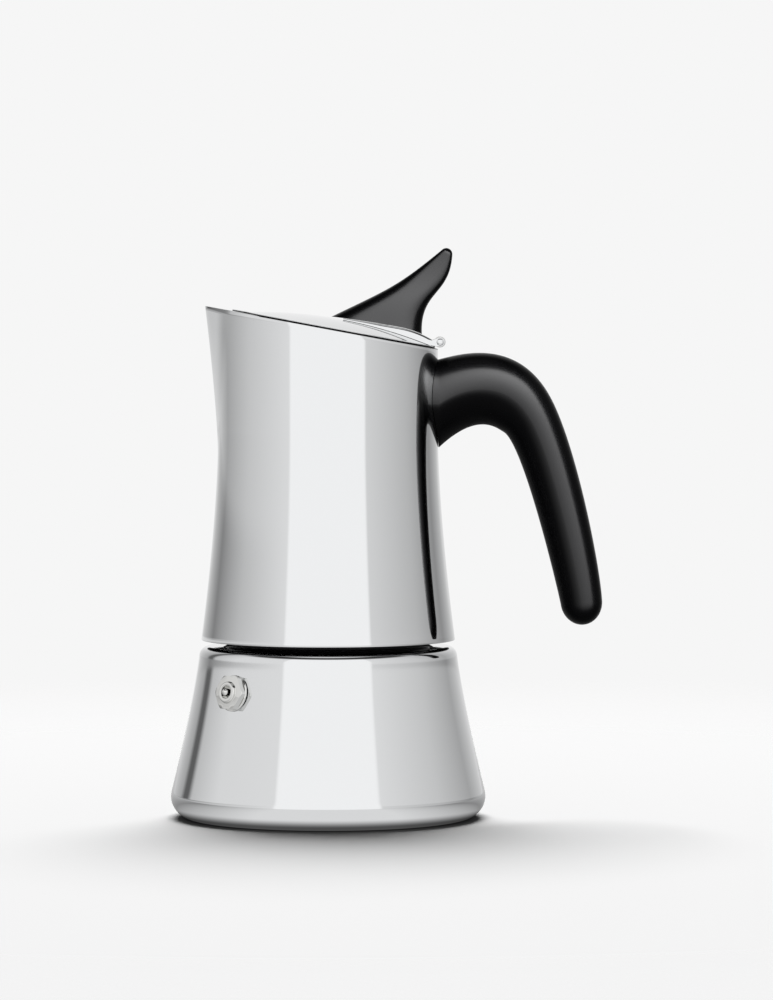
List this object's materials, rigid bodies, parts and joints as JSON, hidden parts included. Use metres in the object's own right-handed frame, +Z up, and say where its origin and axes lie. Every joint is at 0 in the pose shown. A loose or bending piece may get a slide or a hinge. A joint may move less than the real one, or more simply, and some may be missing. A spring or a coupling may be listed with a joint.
{
  "type": "moka pot",
  "caption": "Stovetop coffee maker in polished steel: boiler with safety valve, funnel, screw-on collector with spout, hinged lid with horn knob, hook handle.",
  "frame": {"origin": "on the pot's axis, at the level of the surface it stands on", "axes": "+Z up, +X towards the handle, -X towards the spout"},
  "size_m": [0.1294, 0.0944, 0.1709],
  "materials": {
    "polished_steel": "mirror-polished stainless steel",
    "satin_steel": "satin stainless steel",
    "brushed_aluminium": "brushed disc",
    "plated_brass": "nickel-plated and polished",
    "silicone": "off-white moulded silicone",
    "black_plastic": "satin moulded black"
  },
  "bodies": {
    "boiler": {"boiler": "polished_steel", "base_plate": "brushed_aluminium", "valve_body": "plated_brass", "valve_washer": "plated_brass", "valve_gasket": "silicone", "valve_nut": "plated_brass", "valve_seat": "plated_brass", "valve_spring": "satin_steel"},
    "valve_pin": {"valve_pin": "satin_steel", "valve_seal": "silicone"},
    "funnel": {"funnel": "satin_steel", "funnel_strainer": "satin_steel"},
    "filter_plate": {"filter_plate": "satin_steel"},
    "gasket": {"gasket": "silicone"},
    "collector": {"collector": "polished_steel", "collector_base": "satin_steel", "column": "satin_steel", "column_cap": "satin_steel", "hinge_bracket": "satin_steel", "hinge_pin": "polished_steel", "handle": "black_plastic", "handle_bracket": "satin_steel", "handle_screw": "satin_steel"},
    "lid": {"lid": "polished_steel", "lid_strap": "polished_steel", "knob": "black_plastic", "knob_screw": "satin_steel", "knob_washer": "satin_steel"}
  },
  "joints": [
    {"name": "valve_pin_slide", "type": "slide", "parent": "boiler", "child": "valve_pin", "axis": [-0.6713, -0.7199, 0.1763], "range_m": [0, 0.0015], "stiffness_N_per_m": 1000, "springref_m": -0.002, "deforming": ["valve_spring"]},
    {"name": "funnel_lift", "type": "slide", "parent": "boiler", "child": "funnel", "axis": [0, 0, 1], "range_m": [0, 0.06]},
    {"name": "collector_rise", "type": "slide", "parent": "funnel", "child": "filter_plate", "axis": [0, 0, 1], "range_m": [0, 0.0046]},
    {"name": "collector_turn", "type": "hinge", "parent": "filter_plate", "child": "gasket", "pos_m": [0, 0, 0.0651], "axis": [0, 0, 1], "range_deg": [0, 540]},
    {"name": "collector_lift", "type": "slide", "parent": "gasket", "child": "collector", "axis": [0, 0, 1], "range_m": [0, 0.03]},
    {"name": "lid_hinge", "type": "hinge", "parent": "collector", "child": "lid", "pos_m": [0.0335, 0, 0.14279], "axis": [0, 1, 0], "range_deg": [0, 90]}
  ],
  "couplings": [
    {"joint": "collector_rise", "follows": "collector_turn", "m_per_rad": 0.00047746}
  ]
}
